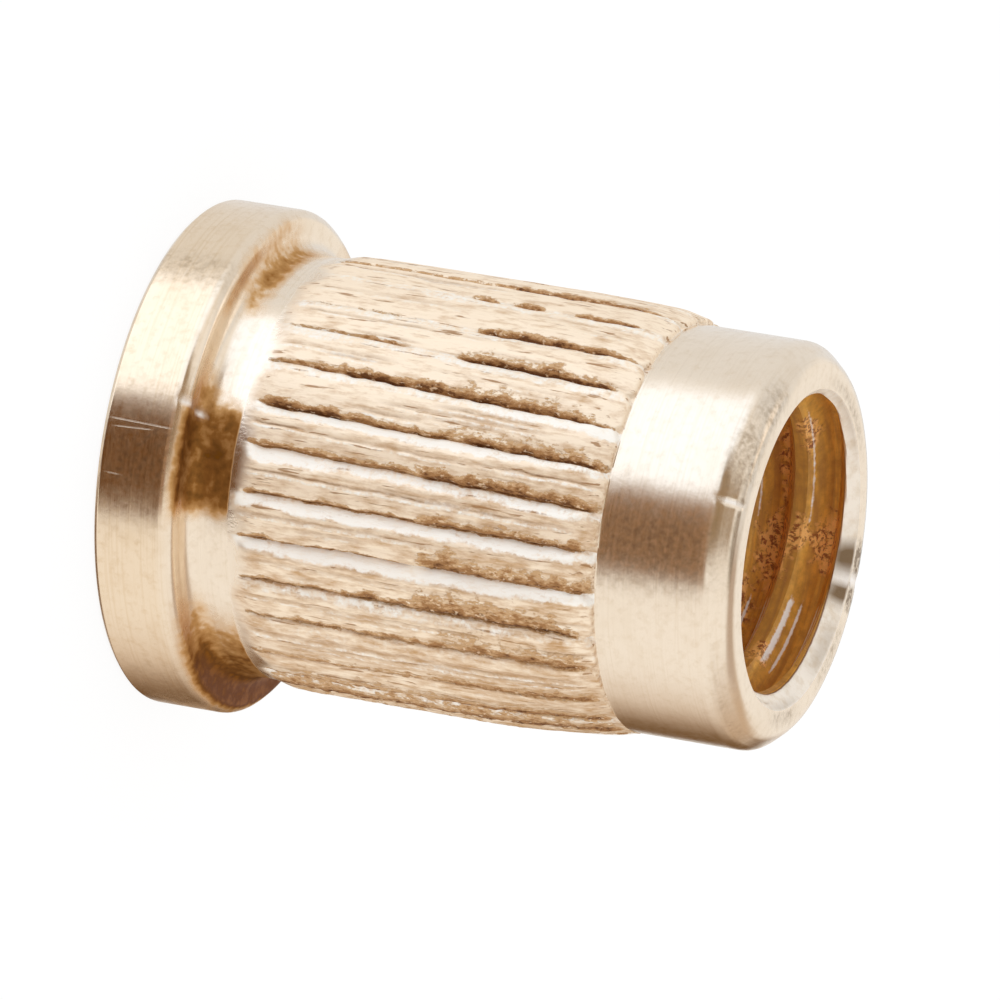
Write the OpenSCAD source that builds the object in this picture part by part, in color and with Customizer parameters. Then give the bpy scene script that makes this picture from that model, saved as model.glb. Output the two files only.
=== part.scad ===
// Headed threaded insert with a straight knurled barrel and a smooth pilot.
// It stands on its head: Z = 0 is the flat face of the head, and +Z points along
// the thread to the pilot's mouth.
// All sizes are in millimetres.

/* [Thread] */
// Nominal diameter of the internal thread
thread_d = 8; // [5:0.1:8.5]
// Pitch of the internal thread
thread_pitch = 1.25; // [0.5:0.05:2]
// Width of the countersink round each mouth of the thread
mouth_chamfer = 0.33; // [0.05:0.01:0.4]

/* [Head] */
// Diameter of the head
head_d = 11.6; // [10.6:0.1:20]
// Thickness of the head
head_h = 1.9; // [1:0.1:5]
// Chamfer on the edge of the head's flat face
head_base_chamfer = 0.12; // [0.02:0.01:0.3]
// Chamfer on the edge of the head's seat
head_seat_chamfer = 0.2; // [0.02:0.01:0.3]
// Radius of the fillet between the head and the neck
head_fillet = 0.45; // [0.1:0.05:0.8]

/* [Neck] */
// Diameter of the smooth neck under the head
neck_d = 9.7; // [9.4:0.05:10]
// Length of the neck, from the head's seat to the knurl
neck_w = 1; // [0.9:0.05:4]

/* [Knurl] */
// Diameter over the ridges of the knurl, before its ends taper
knurl_d = 10; // [9.8:0.05:10.4]
// Length of the knurled barrel
knurl_w = 8.8; // [5:0.1:20]
// Number of deep grooves, with a shallow groove half way between each two
knurl_count = 30; // [16:1:33]
// Depth of the deep grooves
deep_groove = 0.25; // [0.1:0.01:0.35]
// Width of the gentle side of a deep groove
gentle_side_w = 0.36; // [0.1:0.01:0.38]
// Width of the steep side of a deep groove
steep_side_w = 0.07; // [0.03:0.01:0.12]
// Depth of the shallow grooves
shallow_groove = 0.1; // [0.05:0.01:0.2]
// Width of the shallow grooves at the ridge tops
shallow_groove_w = 0.12; // [0.05:0.01:0.17]
// Length over which the grooves rise out at the neck
runout_w = 0.5; // [0.2:0.05:1.5]
// Length of the slight taper of the ridges at the neck
neck_crown_w = 1.5; // [0.5:0.1:1.5]
// Fall of the ridges over the slight taper at the neck
neck_crown_fall = 0.05; // [0.01:0.01:0.1]
// Length of the slight taper of the ridges at the pilot
pilot_crown_w = 3; // [0.5:0.1:3.4]
// Fall of the ridges over the slight taper at the pilot
pilot_crown_fall = 0.12; // [0.01:0.01:0.2]
// Length of the rounded-off tips of the ridges at the neck
neck_tip_w = 0.12; // [0.05:0.01:0.3]
// Length of the rounded-off tips of the ridges at the pilot
pilot_tip_w = 0.25; // [0.05:0.01:0.4]

/* [Pilot] */
// Diameter of the smooth pilot
pilot_d = 9.3; // [9:0.05:9.4]
// Length of the pilot, with its chamfer
pilot_w = 3.1; // [1.5:0.1:8]
// Chamfer at the pilot's end, measured across the end face
end_chamfer = 0.43; // [0.1:0.01:0.6]
// Chamfer at the pilot's end, measured along the pilot
end_chamfer_w = 0.5; // [0.1:0.05:1.2]

/* [Hidden] */

// Facets in a full circle, for round surfaces
round_fn = 96;
// Overlap of cutters past the faces that they cut
eps = 0.1;
// Height of a 60 degree thread's flanks, from its crest to the nominal diameter, for each unit of pitch
flank_ratio = 0.54127;
brass = [0.87, 0.75, 0.6];

// Radii
bore_r = thread_d / 2 - flank_ratio * thread_pitch;
head_r = head_d / 2;
neck_r = neck_d / 2;
knurl_r = knurl_d / 2;
pilot_r = pilot_d / 2;

// Heights of the shoulders, from the head's flat face
seat_z = head_h;
knurl_z = seat_z + neck_w;
pilot_z = knurl_z + knurl_w;
length = pilot_z + pilot_w;

// The core under the knurl stays this far below the bottom of the deep grooves
core_inset = 0.02;
core_r = knurl_r - deep_groove - core_inset;
// Angle from one deep groove to the next
groove_step = 360 / knurl_count;

// Point of the knurl's outline at a radius and an angle
function polar(r, a) = [r * cos(a), r * sin(a)];

// Angle that a width w spans at the ridge tops
function arc_angle(w) = w / knurl_r * 180 / PI;

// Cross-section of the knurl: deep grooves, each with a steep and a gentle side,
// and a shallow V groove half way between each two
function knurl_outline() = [
    for (i = [0 : knurl_count - 1])
        let (
            deep_a = i * groove_step,
            shallow_a = deep_a + groove_step / 2,
            shallow_half = arc_angle(shallow_groove_w / 2)
        )
        each [
            polar(knurl_r - deep_groove, deep_a),
            polar(knurl_r, deep_a + arc_angle(gentle_side_w)),
            polar(knurl_r, shallow_a - shallow_half),
            polar(knurl_r - shallow_groove, shallow_a),
            polar(knurl_r, shallow_a + shallow_half),
            polar(knurl_r, deep_a + groove_step - arc_angle(steep_side_w))
        ]
];

// Head: a disc with a chamfer on each edge
module head() {
    rotate_extrude($fn = round_fn)
        polygon([
            [0, 0],
            [head_r - head_base_chamfer, 0],
            [head_r, head_base_chamfer],
            [head_r, head_h - head_seat_chamfer],
            [head_r - head_seat_chamfer, head_h],
            [0, head_h]
        ]);
}

// Concave fillet from the head's seat up to the neck
module fillet_ring() {
    rotate_extrude($fn = round_fn)
        translate([neck_r - eps, seat_z - eps])
            difference() {
                square(head_fillet + eps);
                translate([head_fillet + eps, head_fillet + eps])
                    circle(r = head_fillet, $fn = round_fn);
            }
}

// Neck, the core under the knurl and the pilot, as one turned shaft
module shaft() {
    rotate_extrude($fn = round_fn)
        polygon([
            [0, 0],
            [neck_r, 0],
            [neck_r, knurl_z],
            [core_r, knurl_z + runout_w],
            [core_r, pilot_z],
            [pilot_r, pilot_z],
            [pilot_r, length - end_chamfer_w],
            [pilot_r - end_chamfer, length],
            [0, length]
        ]);
}

// Envelope of the ridges: rounded tips, a slight taper at each end and a straight middle
module ridge_envelope() {
    rotate_extrude($fn = round_fn)
        polygon([
            [0, knurl_z],
            [neck_r, knurl_z],
            [knurl_r - neck_crown_fall, knurl_z + neck_tip_w],
            [knurl_r, knurl_z + neck_crown_w],
            [knurl_r, pilot_z - pilot_crown_w],
            [knurl_r - pilot_crown_fall, pilot_z - pilot_tip_w],
            [pilot_r, pilot_z],
            [0, pilot_z]
        ]);
}

// Straight knurl, with every ridge cut to the envelope
module knurl() {
    intersection() {
        translate([0, 0, knurl_z - eps])
            linear_extrude(knurl_w + 2 * eps)
                polygon(knurl_outline());
        ridge_envelope();
    }
}

// Through hole at the thread's minor diameter, with a countersink at each mouth
module thread_bore() {
    translate([0, 0, -eps])
        cylinder(h = length + 2 * eps, r = bore_r, $fn = round_fn);
    for (mouth_z = [0, length])
        translate([0, 0, mouth_z])
            mirror([0, 0, mouth_z > 0 ? 1 : 0])
                translate([0, 0, -eps])
                    cylinder(
                        h = mouth_chamfer + eps,
                        r1 = bore_r + mouth_chamfer + eps,
                        r2 = bore_r,
                        $fn = round_fn
                    );
}

// The whole insert, one piece of brass
module insert_body() {
    color(brass)
        difference() {
            union() {
                head();
                fillet_ring();
                shaft();
                knurl();
            }
            thread_bore();
        }
}

insert_body();
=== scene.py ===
import math

import bpy
import numpy as np
from mathutils import Matrix, Vector


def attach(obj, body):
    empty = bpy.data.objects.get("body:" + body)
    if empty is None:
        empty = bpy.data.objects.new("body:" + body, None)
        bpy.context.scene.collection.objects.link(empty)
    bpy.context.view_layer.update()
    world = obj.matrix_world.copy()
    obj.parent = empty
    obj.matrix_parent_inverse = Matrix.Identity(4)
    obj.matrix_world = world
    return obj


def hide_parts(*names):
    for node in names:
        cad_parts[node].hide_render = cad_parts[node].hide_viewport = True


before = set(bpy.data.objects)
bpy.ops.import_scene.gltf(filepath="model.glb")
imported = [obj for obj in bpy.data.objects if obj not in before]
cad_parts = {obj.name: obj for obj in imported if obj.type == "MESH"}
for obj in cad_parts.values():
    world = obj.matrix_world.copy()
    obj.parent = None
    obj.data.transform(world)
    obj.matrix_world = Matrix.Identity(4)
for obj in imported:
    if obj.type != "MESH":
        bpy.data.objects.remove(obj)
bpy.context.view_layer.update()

MM = 0.001  # the frame is in metres

# ---- sizes, in millimetres, as in the solid
HEAD_R = 5.8
HEAD_H = 1.9
BASE_CHAMFER = 0.12
SEAT_CHAMFER = 0.2
HEAD_FILLET = 0.45
NECK_R = 4.85
KNURL_Z = 2.9
KNURL_R = 5.0
NECK_CROWN_W = 1.5
NECK_CROWN_FALL = 0.05
PILOT_CROWN_W = 3.0
PILOT_CROWN_FALL = 0.13
PILOT_Z = 11.7
PILOT_R = 4.65
LENGTH = 14.8
END_CHAMFER = 0.43
END_CHAMFER_W = 0.5
THREAD_R = 4.0
THREAD_PITCH = 1.25
THREAD_DEPTH = 0.54127 * THREAD_PITCH  # as in metric threads
BORE_R = THREAD_R - THREAD_DEPTH
MOUTH_CHAMFER = 0.33
MOUTH_R = BORE_R + MOUTH_CHAMFER
MOUTH_OVERCUT = 0.03  # of the countersink's rings past the crest
MOUTH_SHINE = 0.31  # how far in the mouth is bright
THREAD_RUNOUT = 0.25
THREAD_PHASE = 0.48  # the share of a turn at which it starts

# ---- knurl
GROOVES = 30  # the deep ones
GROOVE_STEP = 360 / GROOVES
GROOVE_DEPTH = 0.25
SHALLOW_DEPTH = 0.08
RISE_SHARE = 0.34  # of the step, for a groove's gentle side
FALL_SHARE = 0.07  # and its steep side
CUT_SHARE = 0.07  # and the cut at a torn groove's bottom
SHALLOW_SHARE = 0.05
RUNOUT = 0.35
NECK_RISE_W = 0.7  # over which the ridges rise
PILOT_EDGE_W = 0.7  # over which their worn ends fall
PILOT_EDGE_FALL = 0.08
TIP_W = 0.12  # and over which they round off at the end
SCALLOP = 0.32  # how much earlier they end beside a groove
LEAD_IN = 0.05  # the turned faces end and the rise starts this far before the knurl
RIDGE_LEAN = 0.03  # fall of a ridge towards the next groove
WORN_DEPTH = 0.13  # of the flatter place, low in the picture
WORN_Z = 8.4  # where that place starts, and over which height it deepens
WORN_W = 3.2
PIT_DEPTH = 0.035  # of torn metal, and what lumps add or take away
PIT_LUMPS = 0.05
LEAST_KNURL = 0.02  # how far the grooves' bottoms stay above the pilot, at least

# shares of the step at which the mesh has columns, and how far its rows lie from the knurl's two ends
COLUMN_SHARES = (
    0, 0.035, 0.07, 0.13, 0.2, 0.27, 0.34, 0.38, 0.425, 0.47, 0.515,
    0.56, 0.605, 0.65, 0.695, 0.74, 0.785, 0.83, 0.87, 0.905, 0.935, 0.968,
)
FROM_NECK = (0, 0.05, 0.1, 0.16, 0.23, 0.31, 0.4)
TO_PILOT = (0.42, 0.33, 0.26, 0.2, 0.15, 0.1, 0.06, 0.03, 0.01, 0)
KNURL_ROWS = 78
OUTER_COLUMNS = GROOVES * len(COLUMN_SHARES)
TURNED_EVERY = 2  # one turned column to this many knurl columns
BORE_EVERY = 6

# the near grooves: the number, the shift in degrees at the neck and at the pilot, the share of the full depth
# at each and of the usual width, and how strong the painted highlight on the gentle side is
GROOVE_FORMS = (
    (17, -1, 1.6, 0.15, 0.3, 1, 0.4), (18, 1.5, 4.3, 0.15, 0.4, 1, 0.5),
    (19, -1.3, 3.6, 0.2, 0.4, 1, 0.6), (20, -1.4, 2.9, 0.35, 0.4, 1, 0.9),
    (21, -0.8, 2.5, 0.6, 0.55, 0.9, 1), (22, -1.9, 1.7, 0.85, 0.9, 1.1, 1.2),
    (23, -0.7, 0.9, 0.95, 1, 1, 1.3), (24, -0.6, 0.3, 1, 1, 1, 1.5),
    (25, -0.9, 1.3, 0.4, 0.5, 1, 0.4), (26, -1.2, 0.3, 0.35, 0.4, 1, 0.15),
    (27, 3, 1.6, 0.4, 0.4, 1, 0.1), (28, 1.5, 1.5, 0.5, 0.5, 1, 0.5),
    (29, 0.5, 0.5, 0.5, 0.5, 1, 0.1),
)
# the range of chance for the same six values of the other grooves
FORM_RANGES = ((-2.2, 0.6), (-0.2, 2.2), (0.3, 1), (0.4, 1), (0.8, 1.1), (0.3, 1))
# how the grooves waver: by how many degrees, over what height, and the seed
WAVERS = ((0.14, 1.1, 11), (0.28, 0.25, 22))
# torn metal and painted shade above the grooves: the groove, start and end, reach in degrees, and how torn
# and shaded
TEARS_AND_SHADE = (
    (17, 7, 7.5, 1.8, 0.7), (17, 8, 8.6, 1.8, 0.8), (17, 9.5, 11, 1.5, 0.9),
    (18, 3.5, 6.2, 1, 0.2), (18, 7.7, 10.8, 1.8, 1), (18, 10.8, 11.4, 1.2, 0.7),
    (19, 3.2, 6.2, 1, 0.35), (19, 5, 6.2, 1, 0.6), (19, 7.5, 11.2, 2, 1),
    (19, 9.2, 10.2, 4, 0.8), (19, 7.6, 11, 5, 0.3),
    (20, 3.1, 4.9, 1.2, 0.6), (20, 4.2, 4.6, 1.8, 0.85), (20, 4.9, 6.6, 2.3, 1),
    (20, 6.6, 11, 3, 0.85), (20, 11, 11.5, 0.8, 0.6), (20, 7.8, 11, 6, 0.3),
    (21, 3.3, 5.3, 2, 0.95), (21, 5.3, 8, 1.6, 0.7), (21, 8.2, 9.2, 2.2, 0.95),
    (21, 9.2, 11.6, 2.4, 0.85), (21, 7.8, 11.4, 5.5, 0.3),
    (22, 2.8, 7.3, 1.8, 0.65), (22, 7.3, 11.6, 3.4, 0.85),
    (23, 3.1, 4.3, 1.3, 0.8), (23, 4.3, 7.5, 1.2, 0.75), (23, 7.5, 11.4, 3, 0.8),
    (24, 3.1, 4, 1.8, 0.9), (24, 4, 7.3, 1.3, 0.75), (24, 7.6, 11.6, 5, 0.75), (24, 7.8, 8.6, 7, 0.8),
    (25, 3.2, 5.7, 1.8, 0.85), (25, 5.7, 7.5, 2.8, 0.95), (25, 7.5, 11.3, 3, 1),
    (25, 7.5, 10.9, 7, 0.65),
    (26, 3.3, 5, 1.6, 0.75), (26, 4.2, 11.4, 2.6, 0.85), (26, 8.6, 11.2, 5, 0.75),
    (26, 8, 11.4, 9, 0.4),
    (27, 3.1, 7.4, 2.5, 0.6), (27, 7.5, 11.5, 3.5, 0.7),
    (28, 2.9, 7.4, 3, 0.8), (28, 7.4, 11.5, 5, 0.8), (28, 4, 10.5, 9, 0.35),
    (29, 2.9, 11.5, 11.5, 0.8), (0, 2.9, 11.5, 11, 0.55),
)
# faint lines, painted as shade with a painted highlight beside them: the groove before, the share of the way
# to the next one, start and end, and how strong
FAINT_LINES = (
    (17, 0.5, 3.4, 7, 0.4), (18, 0.35, 3.5, 6.5, 0.6), (18, 0.85, 5, 6.3, 0.8), (19, 0.5, 3.2, 6, 0.6),
    (19, 0.5, 7, 10.8, 0.3), (20, 0.35, 7.5, 10, 0.7), (20, 0.5, 6.3, 10, 0.6),
    (21, 0.47, 2.9, 4.4, 1), (21, 0.5, 4.2, 8.2, 0.6), (21, 0.42, 9.3, 11.6, 1),
    (22, 0.5, 3.1, 11, 0.9), (22, 0.41, 7.2, 9.4, 0.7), (23, 0.4, 3, 8, 0.7), (24, 0.45, 3.5, 8.5, 0.45),
    (25, 0.4, 3.2, 9, 0.6), (26, 0.36, 3.2, 11.2, 0.8), (26, 0.52, 4.2, 11.2, 0.5),
    (27, 0.5, 3.5, 8, 0.5), (28, 0.5, 4, 10, 0.5),
)
# the groove with raised dots on its gentle side, painted as highlights, their start and end, and their
# spacing
DOTTED, DOTS_START, DOTS_END, DOT_SPACING = 25, 4.3, 6.9, 0.42

# ---- knocks on the turned faces
# the angle down the picture, half the width in degrees, the middle as (radius, height), reach and depth; each
# nick also gets a painted highlight
NICKS = (
    (-13.4, 0.9, (4.45, 14.55), 0.45, 0.05),
    (169.5, 3.2, (3.72, 14.73), 0.7, 0.05),
    (-13.9, 1.3, (5.65, 1.82), 0.28, 0.07),
    (-12.6, 1.2, (5.1, 2), 0.22, 0.06),
)
# dark smudges, and painted dark reflections and shade, in the same way, with how dark they are in place of
# the depth
SMUDGES_AND_SHADE = (
    (176.5, 6.5, (3.75, 14.75), 0.7, 1.2), (163, 4.5, (3.7, 14.7), 0.6, 1.1),
    (140, 14, (3.7, 14.7), 0.4, 0.35), (97, 14, (3.75, 14.8), 0.3, 0.35),
    (-28, 14, (4.4, 14.6), 0.45, 0.4), (-47, 12, (4.3, 14.7), 0.4, 0.3),
    (240, 25, (3.75, 14.8), 0.25, 0.3), (60, 30, (4.5, 14.5), 0.2, 0.15),
    # on the pilot at 2 and on the flange at -1 and 66 the darkening is painted dark reflection and painted
    # shade
    (2, 13, (4.65, 13), 1.8, 0.3), (-1, 12, (5.8, 1), 1.2, 0.3),
    (66, 14, (5.8, 1), 1.4, 0.12), (-47, 6, (5.8, 0.9), 1.2, 0.25),
)
# copper speckle in the thread: the angle, half the width, the height and its reach
CLUSTERS = (
    (175, 19, 12.9, 0.55), (182, 9, 13.5, 0.25), (180, 14, 14.05, 0.36), (131, 8, 13.35, 0.25),
    (228, 14, 13.75, 0.22), (207, 20, 13, 0.28), (150, 20, 12.2, 0.4),
)

# ---- camera
PHOTO_PIXELS = 1000
FOCAL_PIXELS = 12000
MM_PER_PIXEL = 0.0226  # at the middle of the insert
CAMERA_AZIMUTH = -3.3
CAMERA_ELEVATION = 20.83
AXIS_SLOPE = 9.36  # how far the axis points down to the right
MIDDLE_LEFT = 3.5  # of the photo's centre, in pixels
MIDDLE_UP = 0.3


def make_camera():
    """A long lens where the photograph was taken from, turned as it was."""
    azimuth, elevation, slope = map(math.radians, (CAMERA_AZIMUTH, CAMERA_ELEVATION, AXIS_SLOPE))
    outward = Vector((math.sin(azimuth), -math.cos(azimuth), 0))
    side = Vector((math.cos(azimuth), math.sin(azimuth), 0))
    back = outward * math.cos(elevation) + Vector((0, 0, math.sin(elevation)))
    along = -outward * math.sin(elevation) + Vector((0, 0, math.cos(elevation)))
    right = along * math.cos(slope) - side * math.sin(slope)
    up = -(along * math.sin(slope) + side * math.cos(slope))
    pixel = MM_PER_PIXEL * MM
    middle = Vector((0, 0, LENGTH / 2 * MM))
    data = bpy.data.cameras.new("camera")
    data.sensor_width = 36
    data.lens = data.sensor_width * FOCAL_PIXELS / PHOTO_PIXELS
    data.clip_start = 0.01
    data.clip_end = 5
    place = middle + back * (FOCAL_PIXELS * pixel) + right * (MIDDLE_LEFT * pixel) - up * (MIDDLE_UP * pixel)
    camera = add_object("camera", data)
    camera.matrix_world = Matrix.Translation(place) @ Matrix((right, up, back)).transposed().to_4x4()
    bpy.context.scene.camera = camera


def add_object(name, data):
    """An object in the scene."""
    made = bpy.data.objects.new(name, data)
    bpy.context.scene.collection.objects.link(made)
    return made


# ---- noise
def smooth(x):
    """From zero to one, level at both ends."""
    x = np.clip(x, 0, 1)
    return x * x * (3 - 2 * x)


def between(low, high, share):
    """This share of the way from low to high."""
    return low * (1 - share) + high * share


def inside(value, start, end, blur):
    """One between start and end, with blurred ends."""
    return smooth((value - start) / blur + 0.5) * smooth((end - value) / blur + 0.5)


def lattice(values, u, v):
    """Smooth noise from a lattice of random values, periodic in u."""
    rows, columns = values.shape
    i = np.floor(u).astype(int)
    j = np.clip(np.floor(v).astype(int), 0, columns - 2)
    s, t = smooth(u - i), smooth(v - j)
    i0, i1 = i % rows, (i + 1) % rows
    low, high = (between(values[i0, k], values[i1, k], s) for k in (j, j + 1))
    return between(low, high, t)


def random_lattice(cells, cell_z, seed):
    """Random values over the insert's length."""
    return np.random.RandomState(seed).uniform(-1, 1, (cells, int(LENGTH / cell_z) + 3))


def ring_noise(angle, z, cells, cell_z, seed):
    """Noise between -1 and 1, in this many cells round the axis, each cell_z high."""
    return lattice(random_lattice(cells, cell_z, seed), angle / (2 * math.pi) * cells, z / cell_z)


def line_noise(z, cell_z, seed):
    """Noise along each groove: grooves by heights."""
    groove = np.broadcast_to(np.arange(GROOVES)[:, None], (GROOVES, len(z)))
    return lattice(random_lattice(GROOVES, cell_z, seed), groove, np.broadcast_to(z / cell_z, groove.shape))


# ---- the knurl's form
def groove_forms():
    """Each groove's six values: as listed, or by chance."""
    draw = np.random.RandomState(5).uniform
    table = np.stack([draw(low, high, GROOVES) for low, high in FORM_RANGES], axis=1)
    for groove, *form in GROOVE_FORMS:
        table[groove] = form
    return [column[:, None] for column in table.T]


def groove_angles(z):
    """Angle of each groove at each height, in degrees."""
    neck_shift, pilot_shift, *_ = groove_forms()
    way = np.clip((z - KNURL_Z) / (PILOT_Z - KNURL_Z), 0, 1)
    even = np.arange(GROOVES)[:, None] * GROOVE_STEP
    angles = even + between(neck_shift, pilot_shift, way)
    for size, cell_z, seed in WAVERS:
        angles = angles + size * line_noise(z, cell_z, seed)
    return angles


def column_angles(z):
    """Angles of the columns in radians: crowded at the grooves, even off the knurl."""
    z = np.atleast_1d(z)
    grooves = groove_angles(z)
    following = np.concatenate([grooves[1:], grooves[:1] + 360])
    shares = np.array(COLUMN_SHARES)[None, :, None]
    crowded = (grooves[:, None] + (following - grooves)[:, None] * shares).reshape(OUTER_COLUMNS, -1)
    even = np.linspace(0, 360, OUTER_COLUMNS, endpoint=False)[:, None]
    on_knurl = smooth((z - KNURL_Z + 0.5) / 0.45) * smooth((PILOT_Z + 0.65 - z) / 0.6)
    return np.radians(between(even, crowded, on_knurl))


def knurl_heights():
    """Heights of the knurl's rows, closer together at its two ends."""
    neck_end = KNURL_Z + np.array(FROM_NECK)
    pilot_end = PILOT_Z - np.array(TO_PILOT)
    middle = np.linspace(neck_end[-1], pilot_end[0], KNURL_ROWS - len(neck_end) - len(pilot_end) + 2)
    return np.concatenate([neck_end, middle[1:-1], pilot_end])


def torn_and_shaded_metal(z, ragged, chatter):
    """How torn and shaded each vertex is, torn metal and painted shade together: most at a groove's bottom,
    less above it.
    """
    tears_and_shade = list(TEARS_AND_SHADE)
    listed = {form[0] for form in GROOVE_FORMS}
    draw = np.random.RandomState(8).uniform
    for groove in range(GROOVES):
        if groove not in listed:
            start = draw(3.2, 8)
            tears_and_shade.append((groove, 3.1, 11.4, draw(1, 1.8), draw(0.4, 0.8)))
            tears_and_shade.append((groove, start, start + draw(2, 5), draw(1.5, 4), 0.8))
    below = np.array(COLUMN_SHARES)[:, None] * GROOVE_STEP
    above = GROOVE_STEP - below
    torn_and_shaded = np.zeros((GROOVES, len(COLUMN_SHARES), len(z)))
    for groove, start, end, reach, strength in tears_and_shade:
        here = strength * inside(z, start, end, 0.5)
        edge = reach * (1 + 0.35 * ragged[groove])
        lip = 0.45 + 0.35 * chatter[groove]
        torn_and_shaded[groove - 1] = np.maximum(torn_and_shaded[groove - 1], here * np.clip(1.2 - above / edge, 0, 1))
        torn_and_shaded[groove] = np.maximum(torn_and_shaded[groove], here * np.clip(1 - below / lip, 0, 1))
    return torn_and_shaded.reshape(OUTER_COLUMNS, -1)


def faint_lines(z):
    """How strong the faint lines, painted as shade, and the painted highlights beside them are at each
    vertex.
    """
    lines = list(FAINT_LINES)
    listed = {line[0] for line in lines}
    draw = np.random.RandomState(9).uniform
    for groove in range(GROOVES):
        if groove not in listed:
            start = draw(3, 6)
            lines.append((groove, draw(0.4, 0.6), start, start + draw(2, 6), 0.7))
        for _ in range(3):
            start = draw(3, 10.5)
            length = draw(0.6, 2.2)
            lines.append((groove, draw(0.3, 0.88), start, start + length, draw(0.3, 0.6)))
    shares = np.array(COLUMN_SHARES)[:, None]
    waver = 0.012 * line_noise(z, cell_z=0.9, seed=12)
    strength = np.zeros((GROOVES, len(COLUMN_SHARES), len(z)))
    painted_highlight = np.zeros_like(strength)
    for groove, share, start, end, strong in lines:
        off = shares - share - waver[groove]
        here = strong * inside(z, start, end, 0.8)
        line = here * np.clip(1 - np.abs(off) / SHALLOW_SHARE, 0, 1)
        side = here * np.clip(1 - np.abs(off - 1.8 * SHALLOW_SHARE) / SHALLOW_SHARE, 0, 1)
        strength[groove] = np.maximum(strength[groove], line)
        painted_highlight[groove] = np.maximum(painted_highlight[groove], side)
    return strength.reshape(OUTER_COLUMNS, -1), painted_highlight.reshape(OUTER_COLUMNS, -1)


def crown(z):
    """Radius of the ridges at each height."""
    to_neck = np.clip((KNURL_Z + NECK_CROWN_W - z) / NECK_CROWN_W, 0, 1)
    to_pilot = np.clip((z - PILOT_Z + PILOT_CROWN_W) / PILOT_CROWN_W, 0, 1)
    edge = PILOT_EDGE_FALL * smooth((z - PILOT_Z + PILOT_EDGE_W) / PILOT_EDGE_W)
    return KNURL_R - NECK_CROWN_FALL * to_neck ** 2 - PILOT_CROWN_FALL * to_pilot ** 2 - edge


# each column's share of the way from the groove before it to the groove after it
SHARE = np.tile(COLUMN_SHARES, GROOVES)[:, None]
BEFORE = np.repeat(np.arange(GROOVES), len(COLUMN_SHARES))
AFTER = (BEFORE + 1) % GROOVES


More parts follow.
